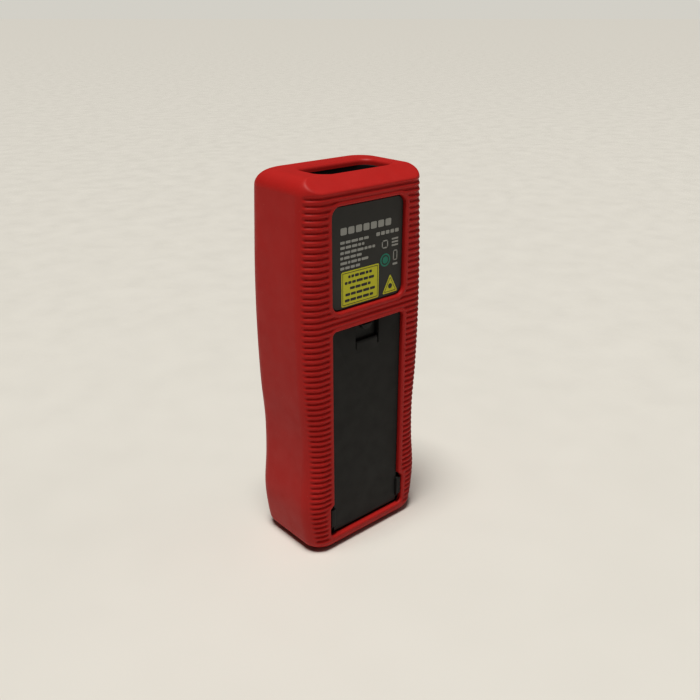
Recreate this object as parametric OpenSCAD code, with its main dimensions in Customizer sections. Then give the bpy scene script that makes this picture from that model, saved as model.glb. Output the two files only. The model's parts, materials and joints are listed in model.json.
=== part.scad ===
// Pocket laser distance meter in a ribbed rubber boot.
// +Z is up, towards the light port. +Y is out of the back, where the battery door
// is, and -Y is out of the front, where the display and the keys are. The origin is
// the centre of the footprint, on the surface that the meter stands on.
// All sizes are in millimetres.

/* [Boot] */
// Height of the boot
boot_h = 110; // [109:0.5:112]
// Width of the boot where it is widest
boot_w = 44.4; // [44:0.1:46]
// Depth of the boot from front to back
boot_d = 26; // [26:0.1:26.6]
// Radius of the long upright edges
boot_corner_r = 5.4; // [4.8:0.1:5.8]
// Rounding all round the foot
foot_r = 3.4; // [2.4:0.1:3.6]
// Rounding of the top edge at the sides
crown_side_r = 4.35; // [3:0.05:4.6]
// Rounding of the top edge at the front
crown_front_r = 3.9; // [3:0.1:4.2]
// Height of the bevel at the top of the back
bevel_h = 3.5; // [3.2:0.1:5]
// Depth of the bevel at the top of the back
bevel_d = 4.9; // [4:0.1:5]

/* [Boot openings] */
// Half width of the two windows in the back
window_x = 13; // [12.9:0.1:13.2]
// Corner radius of the label window
label_r = 2.7; // [2:0.1:3]
// Bottom of the label window
label_z0 = 74.4; // [74:0.1:75]
// Top of the label window
label_z1 = 102.6; // [102:0.1:103]
// Bottom of the door window
door_z0 = 4.2; // [4.1:0.1:4.4]
// Top of the door window
door_z1 = 69.1; // [68.8:0.1:69.4]
// Half width of the door window at its lower end
window_ear_x = 14.4; // [14.2:0.1:14.5]
// Half width of the light port in the top
port_x = 12.6; // [12.2:0.1:12.8]
// Front edge of the light port
port_y0 = -3.8; // [-3.9:0.1:-3.4]
// Back edge of the light port
port_y1 = 7.6; // [7.4:0.1:7.7]

/* [Case] */
// Width of the hard case inside the boot
case_w = 36.6; // [36.4:0.1:36.8]
// Thickness of the case walls
wall = 1.5; // [1.4:0.05:1.6]
// Radius of the long upright edges of the case
case_r = 4; // [3:0.1:4.4]
// How far the boot's front lip stands proud of the case
front_lip = 1.1; // [1.1:0.05:1.2]
// How deep the case lies below the boot's back
back_cover = 1.8; // [1.7:0.05:1.8]
// How far the door and the label lie below the boot's back
sunk = 1.1; // [1:0.05:1.1]

/* [Batteries] */
// Diameter of one cell
cell_d = 10.5; // [10.3:0.1:10.5]
// Length of one cell over its contacts
cell_l = 44.5; // [44:0.1:44.5]
// Lower end of the battery bay
bay_z0 = 10.4; // [10.2:0.1:10.6]
// Length of the battery bay
bay_l = 52; // [51.5:0.1:52]

/* [Door and latch] */
// Thickness of the door
door_t = 1.5; // [1.4:0.05:1.5]
// Gap between the door and what is around it
door_gap = 0.2; // [0.15:0.05:0.25]
// Radius of the door's hinge pins
hinge_pin_r = 0.65; // [0.6:0.01:0.7]
// Radial clearance of the hinge pins and of the latch's root
running_gap = 0.05; // [0.02:0.01:0.08]
// Half width of the latch
latch_x = 3.95; // [3.5:0.05:4]
// Width of the slit on each side of the latch
slit = 0.35; // [0.3:0.05:0.5]
// Height of the axis that the latch bends about
latch_z = 61.9; // [61.8:0.1:62.2]

/* [Keys and display] */
// Radius of the round measuring key
key_r = 6.8; // [6:0.1:7]
// Height of the measuring key's centre
key_z = 46; // [45.5:0.1:46.5]
// Height of the two small keys
small_key_z = 29.5; // [29:0.1:30]
// Distance of each small key from the middle
small_key_x = 7.6; // [7.4:0.1:7.8]
// How far the keys stand out of the case
key_out = 0.8; // [0.6:0.1:0.9]
// Half width of the display's window
display_x = 13.2; // [12.8:0.1:13.2]
// Bottom of the display's window
display_z0 = 67.2; // [66.8:0.1:67.2]
// Top of the display's window
display_z1 = 99; // [98.8:0.1:99.4]

/* [Optics] */
// Sideways place of the receiver's lens
receiver_x = -4.9; // [-5.1:0.1:-4.8]
// Radius of the receiver's lens
receiver_r = 5.2; // [5:0.1:5.4]
// Sideways place of the laser
laser_x = 7.6; // [7.4:0.1:7.7]
// Radius of the laser's barrel
laser_r = 3; // [2.8:0.1:3.1]
// Depth at which both light paths lie
optics_y = 2.5; // [2.4:0.1:2.6]

/* [Screws] */
// Sideways place of the case screws
case_screw_x = 14.7; // [14.6:0.1:14.8]
// Shank radius of the case screws
case_screw_r = 0.85; // [0.8:0.05:0.9]

/* [Hidden] */
$fn = 48;

// Side outline of the boot: share of the height, and inset from the widest width
SIDE = [
    [0, 2.2], [0.06, 0.9], [0.14, 0.2], [0.24, 1.1], [0.34, 1.3],
    [0.46, 0.4], [0.6, 0], [0.74, 0.15], [0.88, 0.85], [1, 1.55]
];
foot_rings = 6;
body_rings = 20;
top_rings = 8;
corner_steps = 8;

back = boot_d / 2;
face = back - sunk;                        // outer face of the door and the label
case_back = back - back_cover;
case_front = -back + front_lip;
case_z0 = 2.4;
case_z1 = boot_h - 1.7;
case_x = case_w / 2;
case_bevel = 3;                            // at the top of the back
front_bevel = 1.5;                         // at the top of the front
top_wall = 3.4;
boot_fit = 0.05;                           // the case in the boot
lip_t = 0.6;                               // the tongue where the shells meet
lip_h = 0.8;
inner_x = case_x - wall;
inner_front = case_front + wall - 0.1;
inner_back = case_back - wall;
inner_z0 = case_z0 + wall;
inner_z1 = case_z1 - top_wall;

board_back = case_front + 6.4;
board_t = 1;
board_front = board_back - board_t;
board_x = 16.3;
board_z0 = 5;
board_z1 = inner_z1 - 1.4;

door_x = window_x - 0.3;
door_top = door_z1 - 0.3;
door_in = face - door_t;
ear_x = window_ear_x - 0.3;
ear_z1 = 14;
ear_face = face - 0.6;
lug_in = door_x - 0.3;                     // a raised lug at each end of the ears
lug_out = 0.7;                             // how far it stands proud of the door
lug_start = 1.8;                           // its lower end, above the hinge axis
ledge = door_in - 0.1;                     // where the shell supports the door
barrel_r = 1.45;                           // rounded lower edge of the door
hinge_y = face - barrel_r;
hinge_z = door_z0 + door_gap + barrel_r;
pin_x = 15.3;
latch_axis_y = face - door_t / 2;
latch_top = door_top - 0.1;
recess_z = 63.9;                           // lower edge of the finger recess
recess_y = face - 0.8;

pad_t = 0.7;
cell_r = cell_d / 2;
cell_x = 5.5;
cell_y = door_in - pad_t - 0.25 - cell_r;
bay_x = 11.7;
bay_floor = cell_y - cell_r - 0.2;
bay_wall = 1;
bay_z1 = bay_z0 + bay_l;
plate_t = 0.3;
nub_r = 1.9;
nub_h = 0.8;
spring_l = bay_l - 2 * plate_t - cell_l;

display_recess = 0.8;
lcd_front = inner_front + 0.1;
lcd_t = 1.6;
lcd_x = 12.3;
mat_front = case_front + 3;
mat_t = 0.7;
key_back = case_front + 2.3;
plunger_end = board_front - 1.25;
dome_t = 0.5;
small_key_r = 3;
small_key_half = 1.5;                      // half the straight part of a small key
key_gap = 0.2;

frame_x = 11.8;
frame_front = board_back + 0.2;
frame_rear = inner_back - 0.2;
frame_z0 = 79;
laser_z0 = 86;
window_t = 0.9;
gasket_t = 0.4;
window_y0 = port_y0 - 0.5;
window_y1 = port_y1 + 0.5;
frame_z1 = inner_z1 - window_t - gasket_t;
lens_z = frame_z1 - 4.3;
lens_edge = 1.2;
lens_rise = 1.4;

case_screw_z = [24, 98];
counterbore_y = 4;
board_screws_at = [[-13.5, 62], [13.5, 62], [0, 11]];

// Parts on the back of the board: x, z, width, height, thickness
COMPONENTS = [
    [-3, 40, 7, 7, 0.9], [6.5, 44, 5, 6, 1.2], [-10, 33, 3.2, 1.6, 0.8], [-10, 45, 2, 4, 0.7],
    [9, 33, 4, 4, 1.8], [2.5, 32, 2, 1.2, 0.7], [-4, 28, 1.6, 2.4, 0.8], [1, 51, 3, 1.6, 0.8],
    [-8.5, 53, 5, 3, 1.4], [9, 53, 3, 3, 1], [-3, 70, 4, 4, 0.9], [6, 69, 6, 2.4, 1.6],
    [-10, 70, 2, 3, 0.7], [-9, 14, 3.2, 2.5, 1.5], [-3, 19, 2, 1.2, 0.7]
];

// ---- helpers ----

module block(x0, x1, y0, y1, z0, z1) translate([x0, y0, z0]) cube([x1 - x0, y1 - y0, z1 - z0]);
module rod_x(y, z, r, x0, x1) translate([x0, y, z]) rotate([0, 90, 0]) cylinder(r = r, h = x1 - x0);
module rod_y(x, z, r, y0, y1) translate([x, y1, z]) rotate([90, 0, 0]) cylinder(r = r, h = y1 - y0);
module rod_z(x, y, r, z0, z1) translate([x, y, z0]) cylinder(r = r, h = z1 - z0);

// Extrudes an outline drawn in X and Z from depth y0 to y1
module along_y(y0, y1) translate([0, y1, 0]) rotate([90, 0, 0]) linear_extrude(y1 - y0) children();

module round_rect(x0, y0, x1, y1, r) {
    translate([x0 + r, y0]) square([x1 - x0 - 2 * r, y1 - y0]);
    translate([x0, y0 + r]) square([x1 - x0, y1 - y0 - 2 * r]);
    for (x = [x0 + r, x1 - r], y = [y0 + r, y1 - r]) translate([x, y]) circle(r);
}

module plate_y(x, z0, z1, r, y0, y1) along_y(y0, y1) round_rect(-x, z0, x, z1, r);
module plate_z(x, y0, y1, r, z0, z1)
    translate([0, 0, z0]) linear_extrude(z1 - z0) round_rect(-x, y0, x, y1, r);

// ---- boot ----

// Cubic curve through the points p, at x
function slope(p, i) = let (a = max(i - 1, 0), b = min(i + 1, len(p) - 1))
    (p[b][1] - p[a][1]) / (p[b][0] - p[a][0]);
function cubic(p, i, x) = let (w = p[i + 1][0] - p[i][0], t = (x - p[i][0]) / w)
    (2 * t ^ 3 - 3 * t ^ 2 + 1) * p[i][1] + (t ^ 3 - 2 * t ^ 2 + t) * w * slope(p, i)
    + (3 * t ^ 2 - 2 * t ^ 3) * p[i + 1][1] + (t ^ 3 - t ^ 2) * w * slope(p, i + 1);
function curve(p, x, i = 0) =
    (i == len(p) - 2 || x <= p[i + 1][0]) ? cubic(p, i, x) : curve(p, x, i + 1);

// Inset of a quarter round of radius r, at a distance u from its end
function quarter(u, r) = u >= r ? 0 : r - sqrt(r ^ 2 - (r - u) ^ 2);

function side_x(z) = boot_w / 2 - curve(SIDE, z / boot_h) - quarter(z, foot_r)
    - quarter(boot_h - z, crown_side_r);
function front_y(z) = -back + quarter(z, foot_r) + quarter(boot_h - z, crown_front_r);
function back_y(z) = back - quarter(z, foot_r);
// The bevel is a plane that cuts across the rounded upright corners
function bevel_y(z) = back - max(0, (z - boot_h + bevel_h) * bevel_d / bevel_h);

BOOT_Z = concat(
    [for (i = [0:foot_rings - 1]) foot_r * (1 - cos(90 * i / foot_rings))],
    [for (i = [0:body_rings - 1]) foot_r + (boot_h - bevel_h - foot_r) * i / body_rings],
    [for (i = [0:top_rings]) boot_h - bevel_h * (1 - sin(90 * i / top_rings))]
);

function ring(z) = let (x = side_x(z) - boot_corner_r, r = boot_corner_r,
        f = front_y(z) + r, b = back_y(z) - r)
    [for (c = [[x, b, 0], [-x, b, 90], [-x, f, 180], [x, f, 270]], k = [0:corner_steps])
        let (a = c[2] + 90 * k / corner_steps)
        [c[0] + r * cos(a), min(c[1] + r * sin(a), bevel_y(z)), z]];

module boot_outside() {
    n = 4 * (corner_steps + 1);
    m = len(BOOT_Z);
    polyhedron(
        points = [for (z = BOOT_Z) each ring(z)],
        faces = concat(
            [[for (k = [0:n - 1]) k], [for (k = [n - 1:-1:0]) (m - 1) * n + k]],
            [for (j = [0:m - 2], k = [0:n - 1]) let (a = j * n + k, b = j * n + (k + 1) % n)
                each [[a, a + n, b], [b, a + n, b + n]]]
        )
    );
}

module door_window() {
    round_rect(-window_x, door_z0, window_x, door_z1, 1.2);
    round_rect(-window_ear_x, door_z0, window_ear_x, ear_z1 + 0.2, 1.5);
    polygon([[-window_ear_x, ear_z1 - 0.8], [-window_x, ear_z1 + 1.2],
        [window_x, ear_z1 + 1.2], [window_ear_x, ear_z1 - 0.8]]);
}

module rubber_boot() color([0.62, 0.1, 0.09]) difference() {
    boot_outside();
    case_body(boot_fit);
    along_y(case_back - 1, back + 1) door_window();
    plate_y(window_x, label_z0, label_z1, label_r, case_back - 1, back + 1);
    plate_y(15, 7.5, boot_h - 7, 5, -back - 1, case_front + 1);
    plate_z(port_x, port_y0, port_y1, 3.4, case_z1 - 1, boot_h + 1);
}

// ---- case ----

module case_body(grow = 0) difference() {
    plate_z(case_x + grow, case_front - grow, case_back + grow, case_r, case_z0 - grow,
        case_z1 + grow);
    for (e = [[case_back + grow, case_bevel], [case_front - grow, front_bevel]])
        translate([-case_w, e[0], case_z1 + grow - e[1]]) rotate([45, 0, 0])
            cube([2 * case_w, 2 * case_bevel, 2 * case_bevel]);
}

module case_inside() plate_z(inner_x, inner_front, inner_back, case_r - wall, inner_z0, inner_z1);

// The opening for light in the top wall
module light_port()
    plate_z(port_x - 0.3, port_y0 + 0.2, port_y1 - 0.4, 3.2, inner_z1 - 1, case_z1 + 1);

module front_shell() color([0.13, 0.13, 0.13]) difference() {
    union() {
        difference() {
            case_body();
            case_inside();
            block(-case_w, case_w, 0, boot_d, -1, boot_h);
        }
        difference() {
            block(-inner_x - 0.65, inner_x + 0.65, -0.1, lip_h, inner_z0 - 0.65, case_z1 - 0.85);
            block(-inner_x - 0.05, inner_x + 0.05, -1, 1, inner_z0 - 0.05, case_z1 - 0.85 - lip_t);
        }
        for (x = [-1, 1], z = case_screw_z)
            rod_y(x * case_screw_x, z, 1.9, inner_front - 0.1, lip_h + 0.05);
        for (p = board_screws_at) rod_y(p[0], p[1], 1.6, inner_front - 0.1, board_front);
    }
    light_port();
    plate_y(display_x + 0.1, display_z0 - 0.1, display_z1 + 0.1, 2.1, case_front - 1,
        case_front + display_recess);
    plate_y(11, display_z0 + 4, display_z1 - 2.5, 1, case_front - 1, inner_front + 1);
    rod_y(0, key_z, key_r + key_gap, case_front - 1, inner_front + 1);
    for (x = [-1, 1]) translate([x * small_key_x, 0, 0])
        small_key_body(key_gap, case_front - 1, inner_front + 1);
    for (x = [-1, 1], z = case_screw_z)
        rod_y(x * case_screw_x, z, case_screw_r + 0.02, -6, 2);
    for (p = board_screws_at) rod_y(p[0], p[1], 0.72, board_front - 3.4, board_front + 1);
}

module rear_shell() color([0.12, 0.12, 0.12]) difference() {
    union() {
        difference() {
            case_body();
            case_inside();
            block(-case_w, case_w, -boot_d, 0, -1, boot_h);
            block(-inner_x - 0.75, inner_x + 0.75, -1, lip_h + 0.1, inner_z0 - 0.75,
                case_z1 - 0.75);
        }
        plate_y(window_x - 0.3, label_z0 + 0.3, label_z1 - 0.3, label_r - 0.3, case_back - 0.1,
            face - 0.25);
        block(-bay_x - bay_wall, bay_x + bay_wall, bay_floor - bay_wall, inner_back + 0.1,
            bay_z0 - bay_wall, bay_z1 + bay_wall);
        block(-inner_x - 0.1, inner_x + 0.1, 7.8, inner_back + 0.1, inner_z0 - 0.1,
            bay_z0 - bay_wall + 0.1);
        for (x = [-1, 1], z = case_screw_z)
            rod_y(x * case_screw_x, z, 2.6, lip_h + 0.1, inner_back + 0.1);
    }
    // the bay with a rib between the cells, and a slot in its floor for each contact's tab
    difference() {
        block(-bay_x, bay_x, bay_floor, back, bay_z0, bay_z1);
        block(-0.9, 0.9, bay_floor - 1, bay_floor + 1.5, bay_z0 + 1, bay_z1 - 1);
    }
    for (x = [-1, 1]) block(x * cell_x - 1.1, x * cell_x + 1.1, bay_floor - 2, bay_floor + 1,
        bay_z0, bay_z0 + plate_t + 0.1);
    // the door's seat, its hinge trough and the sockets of its pins
    block(-door_x - door_gap, door_x + door_gap, ledge, back, hinge_z, door_z1 - 0.1);
    block(-ear_x - door_gap, ear_x + door_gap, ledge, back, door_z0, ear_z1 + door_gap);
    rod_x(hinge_y, hinge_z, barrel_r + door_gap, -ear_x - door_gap, ear_x + door_gap);
    rod_x(hinge_y, hinge_z, hinge_pin_r + running_gap, -pin_x - 0.2, pin_x + 0.2);
    // room for the latch to be pressed in, and the slot that its nose faces
    block(-4.7, 4.7, inner_back - 1, back, recess_z - 0.3, door_z1 - 0.2);
    block(-4.7, 4.7, ledge - 0.4, back, latch_z - 0.7, recess_z);
    block(-3.3, 3.3, inner_back - 1, ledge - 0.05, door_z1 - 0.3, door_z1 + 0.7);
    light_port();
    for (x = [-1, 1], z = case_screw_z) {
        rod_y(x * case_screw_x, z, 1.75, counterbore_y, back);
        rod_y(x * case_screw_x, z, case_screw_r + 0.1, -1, back);
    }
}

module case_screws() color([0.6, 0.6, 0.62])
    for (x = [-1, 1], z = case_screw_z) screw(x * case_screw_x, z, counterbore_y, case_screw_r, 9);

// A pan-head screw with a cross recess, its seat at depth y and its shank towards -Y
module screw(x, z, y, r, length) difference() {
    union() {
        rod_y(x, z, r, y - length, y + 0.1);
        rod_y(x, z, 1.88 * r, y, y + 1.2);
    }
    block(x - 0.2, x + 0.2, y + 0.5, y + 2, z - r, z + r);
    block(x - r, x + r, y + 0.5, y + 2, z - 0.2, z + 0.2);
}

module rating_plate() color([0.17, 0.17, 0.16])
    plate_y(window_x - 0.4, label_z0 + 0.4, label_z1 - 0.4, label_r - 0.4, face - 0.25, face);

// ---- display ----

module display_window() color([0.35, 0.38, 0.4, 0.6])
    plate_y(display_x, display_z0, display_z1, 2, case_front, case_front + display_recess);

module lcd_panel() color([0.62, 0.66, 0.6])
    block(-lcd_x, lcd_x, lcd_front, lcd_front + lcd_t, display_z0 + 0.4, display_z1 - 0.8);

module light_guide() color([0.9, 0.9, 0.88])
    block(-lcd_x + 0.5, lcd_x - 0.5, lcd_front + lcd_t + 0.1, board_front - 0.1, display_z0 + 2.8,
        display_z1 - 1.5);

module zebra_strip() color([0.75, 0.4, 0.35])
    block(-11, 11, lcd_front + lcd_t, board_front, display_z0 + 0.6, display_z0 + 2.2);

// ---- board ----

module main_board() color([0.05, 0.3, 0.16]) difference() {
    plate_y(board_x, board_z0, board_z1, 2, board_front, board_back);
    for (x = [-1, 1], z = case_screw_z)
        rod_y(x * case_screw_x, z, 2.2, board_front - 1, board_back + 1);
    for (p = board_screws_at) rod_y(p[0], p[1], 0.8, board_front - 1, board_back + 1);
}

module board_components() color([0.08, 0.08, 0.09])
    for (c = COMPONENTS) block(c[0] - c[2] / 2, c[0] + c[2] / 2, board_back, board_back + c[4],
        c[1] - c[3] / 2, c[1] + c[3] / 2);

module dome_switches() color([0.8, 0.8, 0.78]) {
    rod_y(0, key_z, 3, board_front - dome_t, board_front);
    for (x = [-1, 1]) rod_y(x * small_key_x, small_key_z, 2.2, board_front - dome_t, board_front);
}

module buzzer() color([0.1, 0.1, 0.1]) difference() {
    rod_y(8.5, 19, 4.5, board_back, board_back + 2);
    rod_y(8.5, 19, 0.8, board_back + 1.4, board_back + 3);
}

module board_screws() color([0.7, 0.7, 0.7])
    for (p = board_screws_at) screw(p[0], p[1], board_back, 0.7, 3.8);

// Silicone sheet on a skirt that stands on the board, with a hole for each plunger
module keypad_mat() color([0.3, 0.3, 0.32]) difference() {
    plate_y(12.9, 23, 57, 2, mat_front, board_front);
    plate_y(11.9, 24, 56, 1, mat_front + mat_t, board_front + 1);
    rod_y(0, key_z, 2.4, mat_front - 1, board_front);
    for (x = [-1, 1]) rod_y(x * small_key_x, small_key_z, 1.9, mat_front - 1, board_front);
}

// ---- keys ----

module small_key_outline(grow) {
    translate([-small_key_half, small_key_z - small_key_r - grow])
        square([2 * small_key_half, 2 * (small_key_r + grow)]);
    for (x = [-1, 1]) translate([x * small_key_half, small_key_z]) circle(small_key_r + grow);
}

module small_key_body(grow, y0, y1) along_y(y0, y1) small_key_outline(grow);

module small_key(x) translate([x, 0, 0]) {
    small_key_body(0, case_front - key_out, key_back);
    small_key_body(0.7, inner_front + 0.2, key_back);
    rod_y(0, small_key_z, 1.5, key_back - 0.1, plunger_end);
}

module measure_key() color([0.75, 0.12, 0.1]) {
    rod_y(0, key_z, key_r, case_front - key_out, key_back);
    rod_y(0, key_z, key_r + 0.8, inner_front + 0.2, key_back);
    rod_y(0, key_z, 2, key_back - 0.1, plunger_end);
}

module mode_key() color([0.3, 0.3, 0.31]) small_key(-small_key_x);
module off_key() color([0.3, 0.3, 0.31]) small_key(small_key_x);

// ---- optics ----

module optics_frame() color([0.2, 0.2, 0.21]) difference() {
    block(-frame_x, frame_x, frame_front, frame_rear, frame_z0, frame_z1);
    block(receiver_x + receiver_r + 1.8, frame_x + 1, frame_front - 1, frame_rear + 1,
        frame_z0 - 1, laser_z0);
    rod_z(receiver_x, optics_y, receiver_r + 0.05, lens_z, frame_z1 + 1);
    rod_z(receiver_x, optics_y, receiver_r - 0.8, frame_z0 + 4, lens_z + 1);
    rod_z(receiver_x, optics_y, 3, frame_z0 - 1, frame_z0 + 5);
    rod_z(laser_x, optics_y, laser_r + 0.02, laser_z0 - 1, frame_z1 + 1);
}

module laser_barrel() color([0.78, 0.6, 0.3]) difference() {
    rod_z(laser_x, optics_y, laser_r, laser_z0 + 0.5, frame_z1 - 0.8);
    rod_z(laser_x, optics_y, 1.7, laser_z0 - 1, laser_z0 + 4);
    rod_z(laser_x, optics_y, 1.2, laser_z0, frame_z1);
    rod_z(laser_x, optics_y, 2.2, frame_z1 - 4.8, frame_z1);
}

module laser_diode() color([0.8, 0.7, 0.4]) {
    rod_z(laser_x, optics_y, 1.65, laser_z0 + 0.6, laser_z0 + 3.5);
    for (a = [90, 210, 330]) rod_z(laser_x + 0.8 * cos(a), optics_y + 0.8 * sin(a), 0.2,
        laser_z0 - 2.4, laser_z0 + 0.7);
}

module laser_flex() color([0.75, 0.5, 0.15]) {
    block(laser_x - 1.8, laser_x + 1.8, board_back + 0.05, optics_y + 1.8, laser_z0 - 2.6,
        laser_z0 - 2.4);
    block(laser_x - 1.8, laser_x + 1.8, board_back + 0.05, board_back + 0.25, 75, laser_z0 - 2.5);
}

// A lens with a straight edge and a spherical top of the given rise
module domed_lens(r, edge, rise) {
    ball_r = (r ^ 2 + rise ^ 2) / (2 * rise);
    intersection() {
        cylinder(r = r, h = edge + rise);
        translate([0, 0, edge + rise - ball_r]) sphere(ball_r, $fn = 96);
    }
}

module receiver_lens() color([0.7, 0.8, 0.9, 0.5])
    translate([receiver_x, optics_y, lens_z]) domed_lens(receiver_r, lens_edge, lens_rise);

module collimator_lens() color([0.7, 0.8, 0.9, 0.5])
    translate([laser_x, optics_y, frame_z1 - 4.8]) domed_lens(2.15, 0.9, 0.7);

module lens_retainer() color([0.1, 0.1, 0.1]) difference() {
    rod_z(receiver_x, optics_y, receiver_r, lens_z + lens_edge + 0.5, frame_z1 - 1);
    rod_z(receiver_x, optics_y, receiver_r - 0.7, lens_z, frame_z1);
}

module light_sensor() color([0.75, 0.72, 0.6])
    rod_z(receiver_x, optics_y, 2.6, frame_z0, frame_z0 + 2.6);

module sensor_board() color([0.05, 0.3, 0.16])
    block(receiver_x - 4.5, receiver_x + 4.5, optics_y - 4.5, optics_y + 4.5, frame_z0 - 1,
        frame_z0);

module optics_window() color([0.12, 0.1, 0.12, 0.6])
    plate_z(13.2, window_y0, window_y1, 2.4, inner_z1 - window_t, inner_z1);

module window_gasket() color([0.05, 0.05, 0.05]) difference() {
    plate_z(frame_x, window_y0, window_y1, 2.6, frame_z1, frame_z1 + gasket_t);
    plate_z(11, window_y0 + 0.8, window_y1 - 0.8, 2, frame_z1 - 1, inner_z1);
}

// ---- batteries ----

module cell(x, z) {
    rod_z(x, cell_y, cell_r, z, z + cell_l - nub_h);
    rod_z(x, cell_y, nub_r, z + cell_l - nub_h - 0.1, z + cell_l);
}

module battery_1() color([0.16, 0.3, 0.5])
    translate([0, 0, 2 * (bay_z0 + plate_t) + cell_l]) mirror([0, 0, 1])
        cell(-cell_x, bay_z0 + plate_t);
module battery_2() color([0.16, 0.3, 0.5]) cell(cell_x, bay_z1 - plate_t - cell_l);

// Conical coil of wire along +Z: wide at its foot, narrow where it meets the cell
module coil(height, wire_r = 0.35, foot = 4.2, tip = 2.4, turns = 4, steps = 16, sides = 6) {
    n = turns * steps;
    points = [for (i = [0:n], k = [0:sides - 1]) let (
            s = i / n, a = 360 * turns * s, b = 360 * k / sides,
            r = foot + (tip - foot) * s + wire_r * cos(b),
            z = wire_r + (height - 2 * wire_r) * s + wire_r * sin(b))
        [r * cos(a), r * sin(a), z]];
    faces = concat(
        [[for (k = [0:sides - 1]) k], [for (k = [sides - 1:-1:0]) n * sides + k]],
        [for (i = [0:n - 1], k = [0:sides - 1])
            let (a = i * sides + k, b = i * sides + (k + 1) % sides)
            each [[a, a + sides, b], [b, a + sides, b + sides]]]
    );
    polyhedron(points = points, faces = faces);
}

module battery_springs() color([0.75, 0.75, 0.72]) {
    translate([cell_x, cell_y, bay_z0 + plate_t]) coil(spring_l);
    translate([-cell_x, cell_y, bay_z1 - plate_t]) mirror([0, 0, 1]) coil(spring_l);
}

module bridge_plate() color([0.75, 0.75, 0.72])
    block(-bay_x + 1, bay_x - 1, bay_floor + 0.4, cell_y + 4.6, bay_z1 - plate_t, bay_z1);

module contact_plates() color([0.75, 0.75, 0.72]) for (x = [-1, 1]) {
    block(x * cell_x - 4.4, x * cell_x + 4.4, bay_floor + 0.4, cell_y + 4.6, bay_z0,
        bay_z0 + plate_t);
    block(x * cell_x - 1, x * cell_x + 1, board_back, bay_floor + 0.5, bay_z0, bay_z0 + plate_t);
}

// ---- door ----

// Lug of the given width along X, which starts with a slope so that it clears the boot
module lug(width) rotate([90, 0, 90]) linear_extrude(width) polygon([
    [door_in, hinge_z], [ear_face, hinge_z], [face + lug_out, hinge_z + lug_start],
    [face + lug_out, ear_z1 - 0.6], [door_in, ear_z1 - 0.6]]);

module battery_door() color([0.1, 0.1, 0.1]) difference() {
    union() {
        plate_y(door_x, hinge_z, door_top, 1, door_in, face);
        block(-door_x, door_x, door_in, face, hinge_z, hinge_z + 3);
        block(-ear_x, ear_x, door_in, ear_face, hinge_z, ear_z1 - 0.6);
        for (x = [-ear_x, lug_in]) translate([x, 0, 0]) lug(ear_x - lug_in);
        rod_x(hinge_y, hinge_z, barrel_r, -door_x, door_x);
        rod_x(hinge_y, hinge_z, ear_face - hinge_y, -ear_x, ear_x);
        rod_x(hinge_y, hinge_z, hinge_pin_r, -pin_x, pin_x);
    }
    block(-latch_x - slit, latch_x + slit, door_in - 1, face + 1, latch_z, door_top + 1);
    rod_x(latch_axis_y, latch_z, door_t / 2 + running_gap, -latch_x - slit, latch_x + slit);
}

module door_pad() color([0.25, 0.25, 0.25]) block(-9, 9, door_in - pad_t, door_in, 20, 52);

// Tongue of the door: a finger recess, a raised nub and a nose that faces the catch
module door_latch() color([0.1, 0.1, 0.1]) {
    rod_x(latch_axis_y, latch_z, door_t / 2, -latch_x, latch_x);
    block(-latch_x, latch_x, door_in, face, latch_z, recess_z);
    block(-latch_x, latch_x, door_in, recess_y, latch_z, latch_top);
    intersection() {
        rod_y(0, latch_top, 2, recess_y - 0.1, face - 0.1);
        block(-5, 5, door_in, face, recess_z, latch_top);
    }
    block(-3, 3, door_in - 0.8, door_in + 0.1, latch_top - 0.8, latch_top);
    block(-3, 3, door_in - 0.8, door_in - 0.2, latch_top - 0.3, latch_top + 0.2);
}

rubber_boot();
front_shell();
rear_shell();
display_window();
lcd_panel();
light_guide();
zebra_strip();
main_board();
board_components();
dome_switches();
buzzer();
keypad_mat();
board_screws();
case_screws();
optics_frame();
laser_barrel();
laser_diode();
collimator_lens();
laser_flex();
receiver_lens();
lens_retainer();
light_sensor();
sensor_board();
optics_window();
window_gasket();
battery_1();
battery_2();
battery_springs();
bridge_plate();
contact_plates();
rating_plate();
battery_door();
door_pad();
door_latch();
measure_key();
mode_key();
off_key();
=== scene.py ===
import json
import math
import random

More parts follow.
